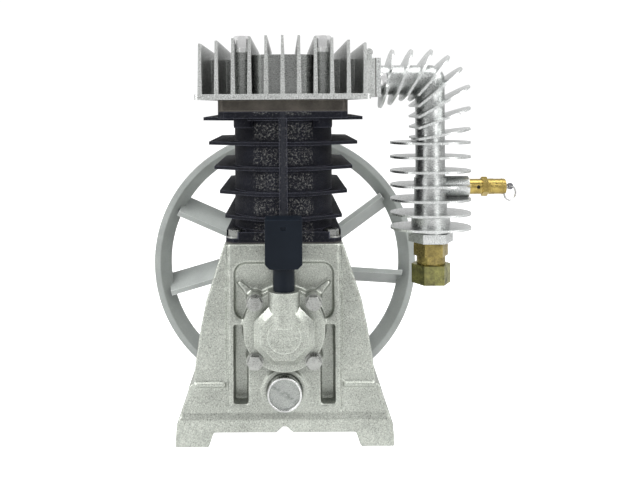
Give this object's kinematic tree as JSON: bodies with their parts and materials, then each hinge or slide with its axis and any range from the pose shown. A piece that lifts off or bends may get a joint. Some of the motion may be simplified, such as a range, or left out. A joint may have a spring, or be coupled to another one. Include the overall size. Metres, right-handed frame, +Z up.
{
  "type": "air compressor pump",
  "caption": "Belt-driven reciprocating air compressor pump: finned cylinder bank on a flared crankcase, finned delivery elbow with safety valve, fan-blade flywheel.",
  "frame": {"origin": "centre of the four foot holes, on the underside of the feet", "axes": "+X to the delivery elbow, +Y back to the flywheel along the crankshaft, +Z up"},
  "size_m": [0.3439, 0.288, 0.3642],
  "materials": {
    "case_alloy": "speckled silver cast finish",
    "head_alloy": "cast alloy with machined fin edges",
    "elbow_alloy": "satin cast alloy",
    "black_iron": "matt black rough casting",
    "wheel_paint": "grey paint over cast iron",
    "gasket": "dark pressed gasket sheet",
    "valve_plate": "oiled brown-grey steel",
    "zinc_screw": "zinc plated",
    "bright_screw": "bright plated",
    "bearing_steel": "ground",
    "spring_steel": "spring steel",
    "forged_steel": "turned forging",
    "piston_alloy": "cast and turned",
    "seal_rubber": "nitrile",
    "sight_bezel": "turned",
    "sight_reflector": "grained",
    "sight_lens": "clear",
    "brass": "machined brass",
    "nut_brass": "forged brass, olive and dull",
    "valve_brass": "machined yellow brass",
    "ring_wire": "plated wire",
    "black_plastic": "moulded plastic"
  },
  "bodies": {
    "pump": {"crankcase": "case_alloy", "sump_gasket": "gasket", "sump_cover": "case_alloy", "sump_bolts": "zinc_screw", "front_cover_gasket": "gasket", "front_bearing_cover": "case_alloy", "front_cover_bolts": "zinc_screw", "front_bearing_outer": "bearing_steel", "rear_bearing_housing": "case_alloy", "rear_housing_bolts": "zinc_screw", "rear_bearing_outer": "bearing_steel", "shaft_oil_seal": "seal_rubber", "sight_glass_bezel": "sight_bezel", "sight_glass_reflector": "sight_reflector", "sight_glass_lens": "sight_lens", "oil_drain_plug": "zinc_screw", "base_gasket": "gasket", "cylinder_block": "black_iron", "block_bolts": "zinc_screw", "lower_valve_gasket": "gasket", "valve_plate": "valve_plate", "inlet_reeds": "spring_steel", "outlet_reeds": "spring_steel", "head_gasket": "gasket", "cylinder_head": "head_alloy", "head_bolts": "bright_screw", "exhaust_gasket": "gasket", "exhaust_elbow": "elbow_alloy", "exhaust_bolts": "bright_screw", "outlet_adapter": "brass", "outlet_ferrule": "brass", "outlet_nut": "nut_brass", "safety_valve_body": "valve_brass", "safety_valve_cap": "valve_brass"},
    "crank": {"crankshaft": "forged_steel", "front_bearing_inner": "bearing_steel", "front_bearing_balls": "bearing_steel", "rear_bearing_inner": "bearing_steel", "rear_bearing_balls": "bearing_steel", "flywheel": "wheel_paint", "flywheel_key": "forged_steel", "flywheel_bolt": "bright_screw"},
    "piston_front": {"front_piston": "piston_alloy", "front_piston_rings": "spring_steel", "front_wrist_pin": "bearing_steel"},
    "rod_front": {"front_rod": "piston_alloy", "front_big_end_bush": "brass", "front_crank_pin": "bearing_steel"},
    "piston_rear": {"rear_piston": "piston_alloy", "rear_piston_rings": "spring_steel", "rear_wrist_pin": "bearing_steel"},
    "rod_rear": {"rear_rod": "piston_alloy", "rear_big_end_bush": "brass", "rear_crank_pin": "bearing_steel"},
    "valve_stem": {"safety_valve_stem": "spring_steel", "safety_valve_spring": "spring_steel"},
    "valve_ring": {"pull_ring": "ring_wire"},
    "breather": {"breather_body": "black_plastic", "breather_tube": "black_plastic"}
  },
  "joints": [
    {"name": "crank_spin", "type": "hinge", "parent": "pump", "child": "crank", "pos_m": [0, 0.139, 0.087], "axis": [0, 1, 0], "continuous": true},
    {"name": "front_piston_slide", "type": "slide", "parent": "pump", "child": "piston_front", "axis": [0, 0, 1], "range_m": [-0.046, 0]},
    {"name": "front_rod_swing", "type": "hinge", "parent": "piston_front", "child": "rod_front", "pos_m": [0, -0.0425, 0.221], "axis": [0, 1, 0], "range_deg": [-11.96, 11.96]},
    {"name": "rear_piston_slide", "type": "slide", "parent": "pump", "child": "piston_rear", "axis": [0, 0, 1], "range_m": [0, 0.046]},
    {"name": "rear_rod_swing", "type": "hinge", "parent": "piston_rear", "child": "rod_rear", "pos_m": [0, 0.0425, 0.175], "axis": [0, 1, 0], "range_deg": [-11.96, 11.96]},
    {"name": "safety_valve_pull", "type": "slide", "parent": "pump", "child": "valve_stem", "axis": [1, 0, 0], "range_m": [0, 0.002], "stiffness_N_per_m": 1500, "springref_m": -0.001},
    {"name": "pull_ring_swing", "type": "hinge", "parent": "valve_stem", "child": "valve_ring", "pos_m": [0.2005, 0, 0.1834], "axis": [-0.4226, 0.9063, 0], "range_deg": [-100, 5]},
    {"name": "breather_lift", "type": "slide", "parent": "pump", "child": "breather", "axis": [0, 0, 1], "range_m": [0, 0.02]}
  ],
  "couplings": [
    {"joint": "rear_piston_slide", "follows": "front_piston_slide", "ratio": -1}
  ]
}
